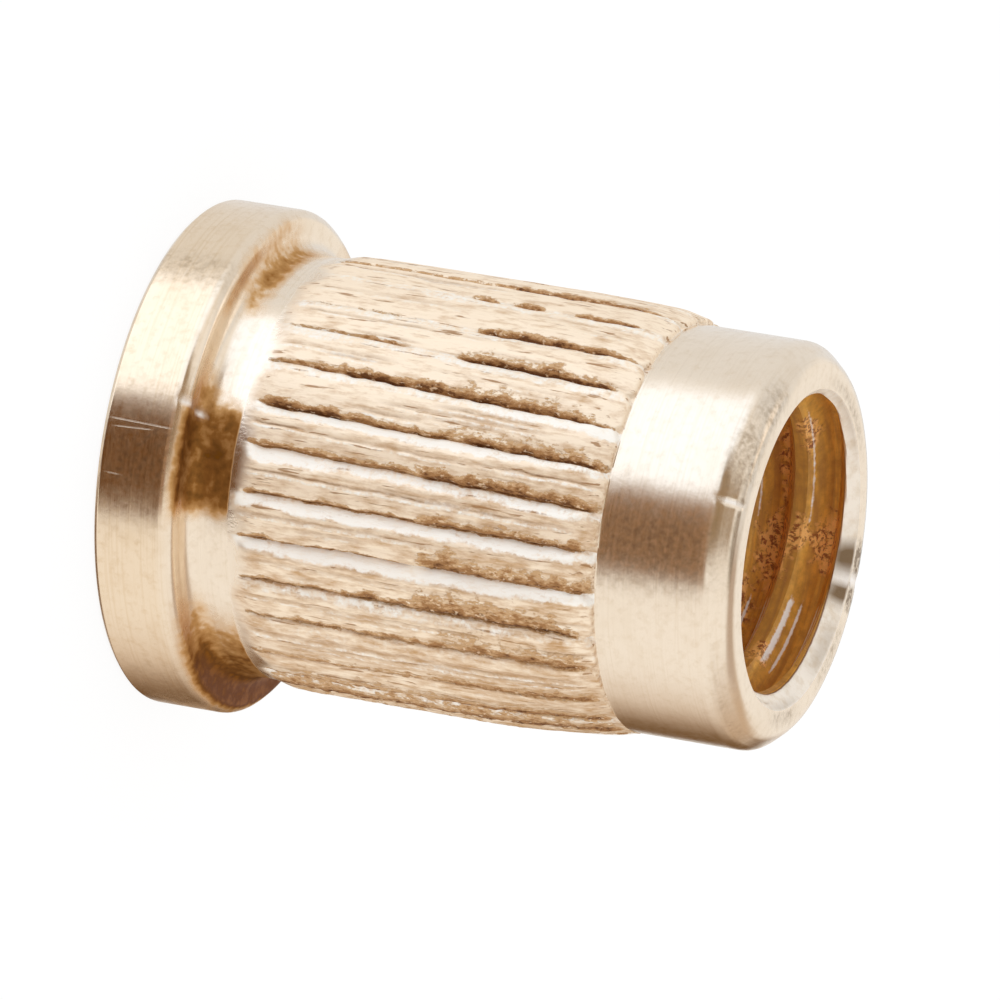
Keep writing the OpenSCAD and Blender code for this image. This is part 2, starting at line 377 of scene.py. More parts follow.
class Knurl:
    """The knurl, as arrays of grooves or columns by heights."""

    def __init__(self, z):
        self.z = z
        self.angle = column_angles(z)
        self.height = np.broadcast_to(z, self.angle.shape)
        ragged = line_noise(z, cell_z=0.19, seed=13)
        chatter = line_noise(z, cell_z=0.3, seed=14)
        wander = line_noise(z, cell_z=1.3, seed=15)
        self.tear_and_shade = torn_and_shaded_metal(z, ragged, chatter)
        self.faint, self.faint_highlight = faint_lines(z)
        self.form_grooves(ragged, chatter, wander, self.tear_and_shade[::len(COLUMN_SHARES)])

    def noise(self, cells, cell_z, seed):
        """Noise at each column and height."""
        return ring_noise(self.angle, self.height, cells, cell_z, seed)

    def form_grooves(self, ragged, chatter, wander, bottom):
        """The grooves' depths and widths and how strong the painted highlight on their gentle sides is."""
        _, _, neck_depth, pilot_depth, width, painted_gloss = groove_forms()
        self.depth_share = between(neck_depth, pilot_depth, smooth((self.z - 5.5) / 3))
        start = KNURL_Z + np.random.RandomState(6).uniform(-0.05, 0.2, (GROOVES, 1))
        self.fade = smooth((self.z[None, :] - start) / RUNOUT)
        self.gentle = GROOVE_DEPTH * self.depth_share * (1 + 0.1 * wander) * self.fade
        cut = 0.8 * GROOVE_DEPTH * (1 - self.depth_share) * bottom * self.fade
        self.rise_width = RISE_SHARE * width * (0.95 + 0.15 * wander + 0.16 * chatter)
        self.fall_width = FALL_SHARE * (1 + 0.35 * ragged + 0.5 * bottom)
        self.painted_gloss = painted_gloss * (0.85 + 0.35 * wander + 0.1 * chatter)
        wave = np.sin(2 * math.pi * self.z / DOT_SPACING + 2 * wander[DOTTED])
        self.dots = inside(self.z, DOTS_START, DOTS_END, 0.3) * smooth(0.5 + 1.2 * wave)
        self.gentle[DOTTED] += 0.06 * self.dots
        self.full = self.gentle + cut

    def grooves(self):
        """Radius at the gentle and the steep sides of the grooves."""
        rise = self.gentle[BEFORE] * np.clip(1 - SHARE / self.rise_width[BEFORE], 0, 1)
        rise = np.maximum(rise, self.full[BEFORE] * np.clip(1 - SHARE / CUT_SHARE, 0, 1))
        fall = self.full[AFTER] * np.clip(1 - (1 - SHARE) / self.fall_width[AFTER], 0, 1) ** 1.3
        return KNURL_R - np.maximum(rise, fall)

    def ridges(self):
        """Radius at the ridges, with a lean, ripples and a place worn flatter."""
        lean = RIDGE_LEAN * smooth((SHARE - 0.4) / 0.5) * self.fade[AFTER]
        ripple = 0.008 * self.noise(cells=90, cell_z=0.8, seed=16)
        ripple = ripple + 0.004 * self.noise(cells=300, cell_z=1.1, seed=17)
        worn = WORN_DEPTH * smooth((self.z - WORN_Z) / WORN_W) * smooth((np.cos(self.angle) - 0.6) / 0.4)
        fade = np.maximum(self.fade[BEFORE], self.fade[AFTER])
        return crown(self.z)[None, :] - (lean + ripple) * fade - worn

    def radius(self):
        """The whole surface with its pits; it rises from the neck and rounds off at the pilot."""
        lumps = self.noise(cells=540, cell_z=0.14, seed=18)
        pits = self.tear_and_shade * (PIT_DEPTH + PIT_LUMPS * lumps)
        surface = np.minimum(self.ridges(), self.grooves())
        surface = surface - (pits + SHALLOW_DEPTH * self.faint) * self.fade[BEFORE]
        risen = smooth((self.height - KNURL_Z + LEAD_IN) / NECK_RISE_W)
        radius = NECK_R + (np.maximum(surface, PILOT_R + LEAST_KNURL) - NECK_R) * risen
        past = self.depth_share[BEFORE] * (1 - SHARE / 0.2)
        beside = np.maximum(past, self.depth_share[AFTER] * (1 - (1 - SHARE) / 0.16))
        scallop = SCALLOP * np.clip(beside, 0, 1)
        tip = np.clip((self.height - PILOT_Z + TIP_W + scallop) / TIP_W, 0, 1)
        radius = np.minimum(radius, PILOT_R + (crown(self.z) - PILOT_R) * np.sqrt(1 - tip ** 2.2))
        radius[:, 0] = NECK_R
        radius[:, -1] = PILOT_R
        return radius

    def flank(self):
        """How strong the painted highlights on the gentle sides, the faint lines' sides and the dots are."""
        width = self.rise_width[BEFORE]
        flank = self.painted_gloss[BEFORE] * np.clip((0.92 * width - SHARE) / (0.25 * width), 0, 1)
        flank = np.maximum(flank, 0.8 * self.faint_highlight)
        dotted = self.dots * (BEFORE == DOTTED)[:, None] * np.clip(1.4 - np.abs(SHARE - 0.1) / 0.06, 0, 1)
        flank = np.maximum(flank, dotted)
        patchy = 0.85 + 0.35 * self.noise(cells=240, cell_z=0.5, seed=21)
        return flank * smooth((self.height - KNURL_Z) / 0.3) * patchy

    def tan_and_shade(self):
        """How brown the ridges are: more low in the picture, as painted shade, and more towards the pilot."""
        seen = down_picture(self.angle)
        towards_pilot = 0.14 + 0.1 * smooth((self.height - 7) / 2)
        lower = towards_pilot + 0.2 * smooth((seen + 45) / 60) + 0.12 * smooth((seen - 28) / 25)
        return lower - 0.15 * smooth((seen - 120) / 60)

    def marks(self):
        """The marks on the metal, with painted shade and highlights among them; the rolling starts unevenly,
        just past the neck.
        """
        uneven = self.noise(cells=75, cell_z=40, seed=19)
        uneven = uneven + 0.5 * self.noise(cells=190, cell_z=40, seed=20)
        rolled = smooth((self.height - KNURL_Z - 0.05 - 0.2 * uneven) / 0.5)
        tear_and_shade = self.tear_and_shade * self.fade[BEFORE]
        return {"tear_and_shade": tear_and_shade, "line": self.faint, "flank": self.flank(), "rolled": rolled, "tan_and_shade": self.tan_and_shade()}


# ---- turned profiles and the thread
GUARD = 0.03  # a point this close to a rounded corner keeps the face flat
LONGEST = 0.45  # no turned face is longer than this along the profile
CORNER_STEPS = (0, 0.33, 0.67, 1)
FILLET_POINTS = 8
MOUTH_RINGS = 9
FACE_RINGS = (3.88, 3.76)  # radii of rings on the end face, for its nick and smudges


def rounded(corners):
    """A profile through corners given as (r, z, rounding)."""
    points = []
    for n, (r, z, rounding) in enumerate(corners):
        if rounding == 0 or n in (0, len(corners) - 1):
            points.append((r, z))
            continue
        here = np.array((r, z))
        to_last = np.array(corners[n - 1][:2]) - here
        to_next = np.array(corners[n + 1][:2]) - here
        to_last /= np.linalg.norm(to_last)
        to_next /= np.linalg.norm(to_next)
        points.append(tuple(here + to_last * (rounding + GUARD)))
        for t in CORNER_STEPS:
            first = here + to_last * rounding * (1 - t)
            second = here + to_next * rounding * t
            points.append(tuple(between(first, second, t)))
        points.append(tuple(here + to_next * (rounding + GUARD)))
    return points


def divided(points):
    """The same profile with its long faces cut into shorter ones."""
    cut = [points[0]]
    for start, end in zip(points[:-1], points[1:]):
        pieces = max(1, math.ceil(math.dist(start, end) / LONGEST))
        for n in range(1, pieces + 1):
            cut.append(tuple(np.array(start) + (np.array(end) - np.array(start)) * n / pieces))
    return cut


def lower_profile():
    """From the mouth in the head's face round the head to the knurl."""
    head = rounded([
        (MOUTH_R, 0, 0),
        (HEAD_R - BASE_CHAMFER, 0, 0.03),
        (HEAD_R, BASE_CHAMFER, 0.03),
        (HEAD_R, HEAD_H - SEAT_CHAMFER, 0.09),
        (HEAD_R - SEAT_CHAMFER, HEAD_H, 0.09),
        (NECK_R + HEAD_FILLET, HEAD_H, 0),
    ])[:-1]
    turns = np.radians(np.linspace(270, 180, FILLET_POINTS))
    fillet = [
        (NECK_R + HEAD_FILLET * (1 + math.cos(t)), HEAD_H + HEAD_FILLET * (1 + math.sin(t)))
        for t in turns
    ]
    return divided(head + fillet + [(NECK_R, KNURL_Z - LEAD_IN)])


def upper_profile():
    """From the knurl up the pilot to the mouth in its end face."""
    return divided(rounded([
        (PILOT_R, PILOT_Z + 0.04, 0),
        (PILOT_R, LENGTH - END_CHAMFER_W, 0.17),
        (PILOT_R - END_CHAMFER, LENGTH, 0.2),
        (FACE_RINGS[0], LENGTH, 0),
        (FACE_RINGS[1], LENGTH, 0),
        (MOUTH_R, LENGTH, 0),
    ]))[:-1]


# the thread as shares of its pitch: where its points lie, half its crest, half its root, and a small ridge
# that the tool left on one flank, with its height in millimetres
PITCH_SHARES = (
    0, 0.125, 0.17, 0.2, 0.23, 0.27, 0.31, 0.34, 0.37,
    0.4375, 0.5625, 0.62, 0.66, 0.7, 0.77, 0.8, 0.83, 0.875,
)
CREST_HALF = 0.125
ROOT_HALF = 0.0625
TOOL_RIDGE = 0.2
TOOL_RIDGE_H = 0.02


def thread_profile():
    """The thread over one pitch: shares of it, radii, and one on the crest."""
    share = np.array(PITCH_SHARES)
    away = np.abs(share - 0.5)
    flank = np.clip((0.5 - CREST_HALF - away) / (0.5 - CREST_HALF - ROOT_HALF), 0, 1)
    crest = 1.0 * (away >= 0.5 - CREST_HALF)
    return share, BORE_R + THREAD_DEPTH * flank - TOOL_RIDGE_H * (share == TOOL_RIDGE), crest


def run_out(z):
    """The thread grows to its full depth from the mouths inwards."""
    return smooth(np.minimum(z, LENGTH - z) / THREAD_RUNOUT)


def thread_height(row, share, angles):
    """Height of a point of the right-handed thread at each angle."""
    return (row + share + THREAD_PHASE + angles / (2 * math.pi)) * THREAD_PITCH


def thread_radius(z, angles):
    """Radius of the thread at one height and each angle."""
    share, radius, _ = thread_profile()
    place = (z / THREAD_PITCH - THREAD_PHASE - angles / (2 * math.pi)) % 1
    full = np.interp(place, np.append(share, 1), np.append(radius, radius[0]))
    return BORE_R + (full - BORE_R) * run_out(z)


# ---- the insert's mesh
TURNED, KNURLED, THREADED = 0, 1, 2
MARKS = (
    "tear_and_shade", "line", "flank", "tan_and_shade", "rolled", "stain_and_shade",
    "smudge_and_shade", "painted_highlight", "painted_shine", "crest", "speckle", "mouth",
)
SHARP_ANGLE = 40


class Skin:
    """Rings of vertices with marks, and the faces between them."""

    def __init__(self):
        self.points = []
        self.faces = []
        self.kinds = []
        self.marks = {name: [] for name in MARKS}

    def ring(self, radius, z, angles, **marks):
        """Adds a ring of vertices and gives their numbers; a mark that isn't given is zero."""
        first = len(self.points)
        radius = np.broadcast_to(radius, angles.shape)
        z = np.broadcast_to(z, angles.shape)
        self.points += list(zip(radius * np.cos(angles), radius * np.sin(angles), z))
        for name in MARKS:
            self.marks[name] += list(np.broadcast_to(marks.get(name, 0.0), angles.shape))
        return np.arange(first, first + len(angles))

    def face(self, corners, kind):
        """Adds a face, unless too few of its corners differ."""
        kept = [int(v) for n, v in enumerate(corners) if v != corners[n - 1]]
        if len(set(kept)) > 2:
            self.faces.append(kept)
            self.kinds.append(kind)

    def band(self, lower, upper, kind, inward=False):
        """Faces between two rings of as many points."""
        for j in range(len(lower)):
            n = (j + 1) % len(lower)
            corners = (lower[j], lower[n], upper[n], upper[j])
            self.face(corners[:1] + corners[:0:-1] if inward else corners, kind)

    def join(self, lower, upper, kind):
        """Joins two rings of which one has a multiple of the other's points."""
        if len(lower) == len(upper):
            self.band(lower, upper, kind)
            return
        flip = len(lower) < len(upper)
        fine, coarse = (upper, lower) if flip else (lower, upper)
        share = len(fine) // len(coarse)
        middle = share // 2
        for j in range(len(coarse)):
            n = (j + 1) % len(coarse)
            corners = []
            for m in range(share):
                near = coarse[j] if m < middle else coarse[n]
                corners.append((fine[j * share + m], fine[(j * share + m + 1) % len(fine)], near))
            corners.append((fine[j * share + middle], coarse[n], coarse[j]))
            for corner in corners:
                self.face(corner[::-1] if flip else corner, kind)


def wrapped(degrees):
    """The same angle, between -180 and 180."""
    return (degrees + 180) % 360 - 180


def down_picture(angles):
    """Degrees round the axis: 0 faces the camera, 90 is the lower side in the picture."""
    return wrapped(np.degrees(angles) + 90)


def grown(seen, start, rise, end, fall):
    """Rises from one angle on and falls from another."""
    return smooth((seen - start) / rise) * (1 - smooth((seen - end) / fall))


def stain_and_shade_at(angles, r, z):
    """How brown the metal is in the head's fillet, on its seat, the neck and the rim: brown stains, with
    painted shade in the fillet and low in the picture and a painted dark reflection in front.
    """
    seen = down_picture(angles) + 3 * ring_noise(angles, z + HEAD_R - r, cells=45, cell_z=0.3, seed=24)
    # in the fillet and on the seat: painted shade below, a painted dark reflection in front, a spot beside it
    # and the far side
    below = 1.4 * grown(seen, 29, 42, 120, 30)
    front = 1.0 * inside(seen, -14, 11, 8)
    spot = 0.55 * inside(seen, -24, -13, 9) * smooth((5.5 - r) / 0.3)
    far = 0.4 * inside(np.abs(seen), 125, 200, 30)
    fillet = smooth((HEAD_R + 0.05 - r) / 0.3) * inside(z, HEAD_H - 0.15, HEAD_H + 0.3, 0.6)
    on_seat = np.maximum.reduce([below, front, spot, far]) * fillet
    # on the neck: above, painted shade below, and a painted dark reflection as a dark bar in front
    above = 0.68 * inside(seen, -84, -49, 20) * inside(z, HEAD_H + 0.05, HEAD_H + 0.5, 0.5)
    on_neck = 0.8 * grown(seen, 38, 29, 115, 20) * inside(z, HEAD_H + 0.1, KNURL_Z + 0.2, 0.6)
    dark_neck = 0.9 * inside(seen, -14, 12, 9) * inside(z, HEAD_H + 0.1, KNURL_Z + 0.2, 0.25)
    # painted shade across the rim, below
    rim = 0.3 * grown(seen, 58, 30, 105, 25) * inside(z, 0.5, 2.2, 1.0)
    return np.clip(np.maximum.reduce([on_seat, above, on_neck, dark_neck, rim]), 0, 1.35)


def knocked(angles, r, z):
    """How deep the nicks are at each point of a ring, and how strong their painted highlight is."""
    seen = down_picture(angles)
    depth = np.zeros(angles.shape)
    painted_highlight = np.zeros(angles.shape)
    for at, half, middle, reach, deep in NICKS:
        across = np.clip(1 - np.abs(wrapped(seen - at)) / half, 0, 1)
        along = smooth(1.4 - 1.4 * math.dist((r, z), middle) / reach)
        depth = np.maximum(depth, deep * across * along)
        painted_highlight = np.maximum(painted_highlight, across * along)
    return depth, painted_highlight


def smudge_and_shade_at(angles, r, z):
    """How dark the smudges and the painted dark reflections and shade are there."""
    seen = down_picture(angles)
    dark = np.zeros(angles.shape)
    for at, half, middle, reach, strength in SMUDGES_AND_SHADE:
        across = smooth(1.3 - np.abs(wrapped(seen - at)) / half)
        along = smooth(1.3 - math.dist((r, z), middle) / reach)
        dark = np.maximum(dark, strength * across * along)
    return dark


def add_turned(skin, profile, last):
    """Turned faces from a ring along a profile, pushed in at the nicks."""
    for r, z in profile:
        angles = column_angles(z)[::TURNED_EVERY, 0]
        depth, painted_highlight = knocked(angles, r, z)
        inward = -1 if z > LENGTH / 2 or r < HEAD_R - 0.3 else 0
        marks = {"stain_and_shade": stain_and_shade_at(angles, r, z), "smudge_and_shade": smudge_and_shade_at(angles, r, z), "painted_highlight": painted_highlight}
        ring = skin.ring(r - 0.7 * depth, z + 0.7 * inward * depth, angles, **marks)
        skin.join(last, ring, TURNED)
        last = ring
    return last


def countersink(skin, angles, last, mouth_z, way):
    """Rings from a mouth down its countersink, which cuts the thread; gives the last one."""
    for depth in np.linspace(0, MOUTH_CHAMFER + MOUTH_OVERCUT, MOUTH_RINGS + 1)[1:]:
        z = mouth_z + way * depth
        thread_r = thread_radius(z, angles)
        cone = MOUTH_R - depth
        mouth = smooth((MOUTH_SHINE - depth) / 0.1 + 0.5)
        marks = {"smudge_and_shade": smudge_and_shade_at(angles, cone, z), "painted_highlight": knocked(angles, cone, z)[1]}
        ring = skin.ring(np.maximum(thread_r, cone), z, angles, mouth=mouth, **marks)
        lower, upper = (last, ring) if way > 0 else (ring, last)
        skin.band(lower, upper, THREADED, inward=True)
        last = ring
    return last


# how strong the painted highlights on the thread are at shares of its pitch, low in the picture and high in
# it
LOW_PAINTED_SHINE = {0.17: 0.3, 0.2: 1.0, 0.23: 0.7, 0.34: 1.0, 0.62: 0.5, 0.66: 1.0, 0.7: 0.5, 0.8: 1.0}
HIGH_PAINTED_SHINE = {0.2: 1.0, 0.8: 0.6}


def painted_thread_shine(angles, share):
    """Painted highlights on the thread's edges, mostly low in the picture."""
    seen = down_picture(angles) % 360
    low = inside(seen, 128, 158, 8)
    high = 0.6 * inside(seen, 186, 240, 12)
    return low * LOW_PAINTED_SHINE.get(share, 0) + high * HIGH_PAINTED_SHINE.get(share, 0)


def speckled(angles, z):
    """How thickly the thread is covered with copper specks."""
    seen = down_picture(angles) % 360
    level = np.zeros(angles.shape)
    for at, half, height, reach in CLUSTERS:
        level = np.maximum(level, smooth(1.4 - np.hypot((seen - at) / half, (z - height) / reach)))
    return level


def add_bore(skin, angles, lower_mouth, upper_mouth):
    """The bore: a helical sheet between two rings; its points past a ring fall on it."""
    low_ring = countersink(skin, angles, lower_mouth, 0, 1)
    high_ring = countersink(skin, angles, upper_mouth, LENGTH, -1)
    low_z = MOUTH_CHAMFER + MOUTH_OVERCUT
    high_z = LENGTH - low_z
    shares, radii, crests = thread_profile()
    per_turn = len(shares)
    turns = int(math.ceil(LENGTH / THREAD_PITCH)) + 3
    count = len(angles)
    sheet = np.zeros((turns * per_turn, count + 1), dtype=int)
    for i in range(turns * per_turn):
        row, part = divmod(i, per_turn)
        z = thread_height(row - 2, shares[part], angles)
        painted_shine = painted_thread_shine(angles, shares[part])
        radius = BORE_R + (radii[part] - BORE_R) * run_out(np.clip(z, 0, LENGTH))
        marks = {"painted_shine": painted_shine, "crest": crests[part], "speckle": speckled(angles, z)}
        ring = skin.ring(radius, z, angles, **marks)
        beyond = np.where(z >= high_z, high_ring, low_ring)
        sheet[i, :count] = np.where((z > low_z) & (z < high_z), ring, beyond)
    sheet[:-per_turn, count] = sheet[per_turn:, 0]
    for i in range((turns - 1) * per_turn - 1):
        for j in range(count):
            skin.face((sheet[i, j], sheet[i + 1, j], sheet[i + 1, j + 1], sheet[i, j + 1]), THREADED)


def build_skin():
    """The whole surface, out and up from the lower mouth and back through the bore."""
    skin = Skin()
    bore_angles = column_angles(0.0)[::BORE_EVERY, 0]
    lower_mouth = skin.ring(MOUTH_R, 0, bore_angles, mouth=1.0)
    last = add_turned(skin, lower_profile()[1:], lower_mouth)
    knurl = Knurl(knurl_heights())
    radius, marks = knurl.radius(), knurl.marks()
    for n, z in enumerate(knurl.z):
        here = {name: values[:, n] for name, values in marks.items()}
        ring = skin.ring(radius[:, n], z, knurl.angle[:, n], **here)
        skin.join(last, ring, KNURLED if n else TURNED)
        last = ring
    last = add_turned(skin, upper_profile(), last)
    upper_mouth = skin.ring(MOUTH_R, LENGTH, bore_angles, mouth=1.0)
    skin.join(last, upper_mouth, TURNED)
    add_bore(skin, bore_angles, lower_mouth, upper_mouth)
    return skin


def mark_sharp_edges(mesh, on_knurl):
    """Sharp at the turned corners, but nowhere on the knurl."""
    mesh.set_sharp_from_angle(angle=math.radians(SHARP_ANGLE))
    ends = np.zeros(len(mesh.edges) * 2, dtype=np.int32)
    mesh.edges.foreach_get("vertices", ends)
    sharp = np.zeros(len(mesh.edges), dtype=bool)
    mesh.attributes["sharp_edge"].data.foreach_get("value", sharp)
    sharp &= ~on_knurl[ends.reshape(-1, 2)].any(axis=1)
    mesh.attributes["sharp_edge"].data.foreach_set("value", sharp)


def make_insert():
    """The insert with its marks as attributes, without unused vertices."""
    skin = build_skin()
    points = np.array(skin.points)
    used = np.unique(np.concatenate(skin.faces))
    renumber = np.full(len(points), -1)
    renumber[used] = np.arange(len(used))
    mesh = bpy.data.meshes.new("insert")
    mesh.from_pydata((points[used] * MM).tolist(), [], [renumber[face].tolist() for face in skin.faces])
    mesh.update()
    for name in MARKS:
        mark = mesh.attributes.new(name, "FLOAT", "POINT")
        mark.data.foreach_set("value", np.array(skin.marks[name])[used].astype(np.float32))
    mesh.polygons.foreach_set("material_index", skin.kinds)
    mesh.shade_smooth()
    mark_sharp_edges(mesh, np.array(skin.marks["rolled"])[used] > 0)
    return add_object("insert", mesh)


# ---- materials
def set_inputs(node, *settings):
    """Gives a node's inputs their values, as (name, value) pairs."""
    for name, value in settings:
        node.inputs[name].default_value = value


class Graph:
    """Short ways to add nodes to a material."""

    def __init__(self, name):
        self.material = bpy.data.materials.new(name)
        self.material.use_nodes = True
        self.nodes = self.material.node_tree.nodes
        self.links = self.material.node_tree.links
        self.shader = self.nodes["Principled BSDF"]
        self.place = self.nodes.new("ShaderNodeTexCoord").outputs["Object"]
        parts = self.nodes.new("ShaderNodeSeparateXYZ")
        self.links.new(self.place, parts.inputs[0])
        self.x, self.y, self.z = (self.times(part, 1 / MM) for part in parts.outputs)

    def feed(self, socket, value):
        """Gives a socket a number, a colour or what another node gives."""
        if isinstance(value, (int, float)):
            socket.default_value = value
        elif isinstance(value, tuple):
            socket.default_value = (*value, 1)
        else:
            self.links.new(value, socket)

    def noise(self, scale, detail=2.0, roughness=0.5):
        """Noise with so many cells a millimetre along each axis."""
        mapping = self.nodes.new("ShaderNodeMapping")
        mapping.inputs["Scale"].default_value = [s / MM for s in scale]
        self.links.new(self.place, mapping.inputs["Vector"])
        noise = self.nodes.new("ShaderNodeTexNoise")
        set_inputs(noise, ("Scale", 1), ("Detail", detail), ("Roughness", roughness))
        self.links.new(mapping.outputs["Vector"], noise.inputs["Vector"])
        return noise.outputs["Fac"]

    def spread(self, value, low, high, to_low=0.0, to_high=1.0):
        """A value from low to high spread over another range, and held there."""
        node = self.nodes.new("ShaderNodeMapRange")
        self.links.new(value, node.inputs["Value"])
        set_inputs(node, ("From Min", low), ("From Max", high), ("To Min", to_low), ("To Max", to_high))
        return node.outputs["Result"]

    def math(self, operation, a, b):
        """What an operation makes of two values."""
        node = self.nodes.new("ShaderNodeMath")
        node.operation = operation
        for socket, value in zip(node.inputs, (a, b)):
            self.feed(socket, value)
        return node.outputs[0]

    def times(self, a, b):
        """Two values multiplied."""
        return self.math("MULTIPLY", a, b)

    def plus(self, a, b):
        """Two values added."""
        return self.math("ADD", a, b)

    def mixed(self, data_type, first, factor, a, b):
        """A mix node from a to b, which are its inputs from this number on."""
        node = self.nodes.new("ShaderNodeMix")
        node.data_type = data_type
        self.links.new(factor, node.inputs["Factor"])
        self.feed(node.inputs[first], a)
        self.feed(node.inputs[first + 1], b)
        return node

    def mix(self, factor, a, b):
        """A colour that goes from a to b."""
        return self.mixed("RGBA", 6, factor, a, b).outputs[2]

    def blend(self, factor, a, b):
        """A number that goes from a to b."""
        return self.mixed("FLOAT", 2, factor, a, b).outputs[0]

    def coat(self, colour, *coats):
        """A colour under coats of (value, low, high, most, colour), thickest at high values."""
        for value, low, high, most, tone in coats:
            colour = self.mix(self.spread(value, low, high, 0, most), colour, tone)
        return colour

    def mark(self, name):
        """One of the mesh's marks."""
        node = self.nodes.new("ShaderNodeAttribute")
        node.attribute_name = name
        return node.outputs["Fac"]

    def scratch(self, seen, lean, start, end, width):
        """A thin scratch: its angle down the picture, degrees a millimetre, start, end and width."""
        angle = self.times(self.math("ARCTAN2", self.y, self.x), 180 / math.pi)
        line = self.plus(self.times(self.z, lean), wrapped(seen - 90) - lean * start)
        off = self.math("ABSOLUTE", self.math("SUBTRACT", angle, line), 0)
        started = self.spread(self.z, start, start + SCRATCH_TAPER)
        ended = self.spread(self.z, end, end - SCRATCH_TAPER)
        along = self.times(started, ended)
        return self.times(self.spread(off, width, width / 2), along)

    def finish(self, colour, roughness, bumps, metallic, specular):
        """Feeds the shader; bumps are (height, millimetres) pairs."""
        sockets = self.shader.inputs
        sockets["Specular IOR Level"].default_value = specular
        for name, value in (("Base Color", colour), ("Roughness", roughness), ("Metallic", metallic)):
            self.links.new(value, sockets[name])
        normal = None
        for height, distance in bumps:
            bump = self.nodes.new("ShaderNodeBump")
            set_inputs(bump, ("Strength", 1), ("Distance", distance * MM))
            self.links.new(height, bump.inputs["Height"])
            if normal is not None:
                self.links.new(normal, bump.inputs["Normal"])
            normal = bump.outputs["Normal"]
        self.links.new(normal, sockets["Normal"])
        return self.material


WHITE = (1.0, 1.0, 1.0)
# the colour of the painted glints on nicks and scratches
PAINTED_GLINT = (1.0, 0.96, 0.92)
PILOT_TONE = (0.89, 0.757, 0.602)
PILOT_SHADE = (0.8, 0.65, 0.48)
HEAD_TONE = (0.86, 0.69, 0.5)
HEAD_SHADE = (0.74, 0.55, 0.35)
# brown stain colours, which also carry painted shade in the fillet and low in the picture and a painted dark
# reflection in front
STAIN_AND_SHADE_LIGHT = (0.72, 0.42, 0.17)
STAIN_AND_SHADE_MID = (0.32, 0.135, 0.03)
STAIN_AND_SHADE_DARK = (0.15, 0.062, 0.014)
STAIN_AND_SHADE_DARKEST = (0.25, 0.09, 0.005)
# the smudges' colour, also used for painted dark reflection and shade
SMUDGE_AND_SHADE_TONE = (0.22, 0.14, 0.07)
# the tint of the stained metal's reflections, dark where the stain is painted shade
TINT_LIGHT = (0.6, 0.42, 0.26)
TINT_DARK = (0.28, 0.165, 0.06)
TINT_DARKEST = (0.3, 0.16, 0.01)
# thin scratches, painted as highlights, as Graph.scratch takes them
SCRATCHES = (
    (-7.6, 0.3, 0.1, 1.75, 0.25), (-5.8, -0.4, 0.2, 1.3, 0.2), (4.6, 0.4, 0.15, 0.7, 0.2),
    (140, 2, 0.3, 1.3, 0.2), (220, 3, 12.3, 13.4, 0.2),
)
SCRATCH_TAPER = 0.2


def turned_brass():
    """Turned metal with tool lines, brown stains, smudges, painted shade, painted dark reflections and
    painted glints; the head is a deeper gold than the pilot.
    """
    g = Graph("turned_brass")
    lines = g.noise((0.3, 0.3, 16), detail=3, roughness=0.6)
    mottle = g.noise((5, 5, 5), detail=3, roughness=0.55)
    patchy = g.noise((2, 2, 2))
    cloud = g.noise((1.3, 1.3, 1.3))
    grit = g.noise((8, 8, 8))

    # the metal, its smudges and painted dark reflections
    off_head = g.spread(g.z, 1.5, 1.9)
    tone = g.mix(off_head, HEAD_TONE, PILOT_TONE)
    darker = g.mix(off_head, HEAD_SHADE, PILOT_SHADE)
    colour = g.coat(tone, (mottle, 0.5, 0.8, 0.7, darker), (lines, 0.5, 0.75, 0.55, darker),
                    (cloud, 0.5, 0.75, 0.35, darker))
    smudge_and_shade = g.times(g.mark("smudge_and_shade"), g.spread(mottle, 0.35, 0.65, 0.5, 1.1))
    smudge_and_shade = g.times(smudge_and_shade, g.spread(grit, 0.35, 0.65, 0.5, 1.6))
    colour = g.mix(smudge_and_shade, colour, SMUDGE_AND_SHADE_TONE)

    # blotchy brown stains with painted shade and painted dark reflections, darkest where they are thickest
    patches = g.plus(g.spread(patchy, 0.3, 0.7, -0.16, 0.16), g.spread(mottle, 0.3, 0.7, -0.16, 0.16))
    uneven = g.times(patches, g.spread(g.mark("stain_and_shade"), 0, 0.4))
    level = g.plus(g.mark("stain_and_shade"), uneven)
    stain_and_shade = g.spread(level, 0, 0.5)
    deep = g.spread(level, 0.8, 1.15)
    darkest_stain_and_shade = g.spread(level, 1.05, 1.3)
    colour = g.mix(stain_and_shade, colour, STAIN_AND_SHADE_LIGHT)
    colour = g.mix(g.spread(level, 0.3, 0.85), colour, STAIN_AND_SHADE_MID)
    colour = g.mix(darkest_stain_and_shade, g.mix(deep, colour, STAIN_AND_SHADE_DARK), STAIN_AND_SHADE_DARKEST)
    tint = g.mix(stain_and_shade, WHITE, g.mix(darkest_stain_and_shade, g.mix(deep, TINT_LIGHT, TINT_DARK), TINT_DARKEST))
    g.links.new(tint, g.shader.inputs["Specular Tint"])

    # painted highlights on the nicks and scratches
    painted_highlight = g.mark("painted_highlight")
    for scratch in SCRATCHES:
        painted_highlight = g.math("MAXIMUM", painted_highlight, g.spread(g.scratch(*scratch), 0, 1, 0, 0.35))
    colour = g.mix(painted_highlight, colour, PAINTED_GLINT)
    roughness = g.spread(mottle, 0.3, 0.7, 0.17, 0.27)
    roughness = g.blend(g.math("MAXIMUM", stain_and_shade, painted_highlight), roughness, 0.4)
    metallic = g.blend(painted_highlight, g.blend(darkest_stain_and_shade, g.blend(stain_and_shade, 1, 0.6), 0.3), 0.5)
    bumps = [(lines, 0.0025), (mottle, 0.002), (g.math("SUBTRACT", 1, painted_highlight), 0.004)]
    return g.finish(colour, roughness, bumps, metallic, specular=0.2)


RIDGE_PALE = (0.99, 0.83, 0.64)
